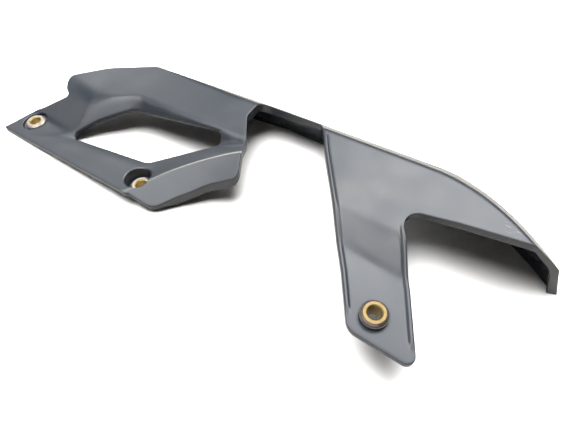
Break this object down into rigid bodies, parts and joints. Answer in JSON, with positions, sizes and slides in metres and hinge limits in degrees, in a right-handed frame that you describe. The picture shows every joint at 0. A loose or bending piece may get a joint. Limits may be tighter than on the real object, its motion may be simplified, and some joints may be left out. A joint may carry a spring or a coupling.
{
  "type": "motorcycle belt guard",
  "caption": "Moulded plastic guard for a final drive belt, with a window, a roof over the belt run, a leg and flanged steel collars in rubber grommets.",
  "frame": {"origin": "on the axis of the front collar, at its bottom face", "axes": "+X along the roof fold towards the tail, +Y towards the roof, +Z away from the wheel, along the collar bores"},
  "size_m": [0.4483, 0.1539, 0.0537],
  "materials": {
    "plastic": "satin grained black moulded plastic",
    "steel": "turned steel with worn yellow zinc plating",
    "rubber": "matt black rubber"
  },
  "bodies": {
    "root": {"guard_body": "plastic", "front_collar": "steel", "middle_collar": "steel", "rear_collar": "steel", "front_grommet": "rubber", "middle_grommet": "rubber", "rear_grommet": "rubber"}
  },
  "joints": []
}
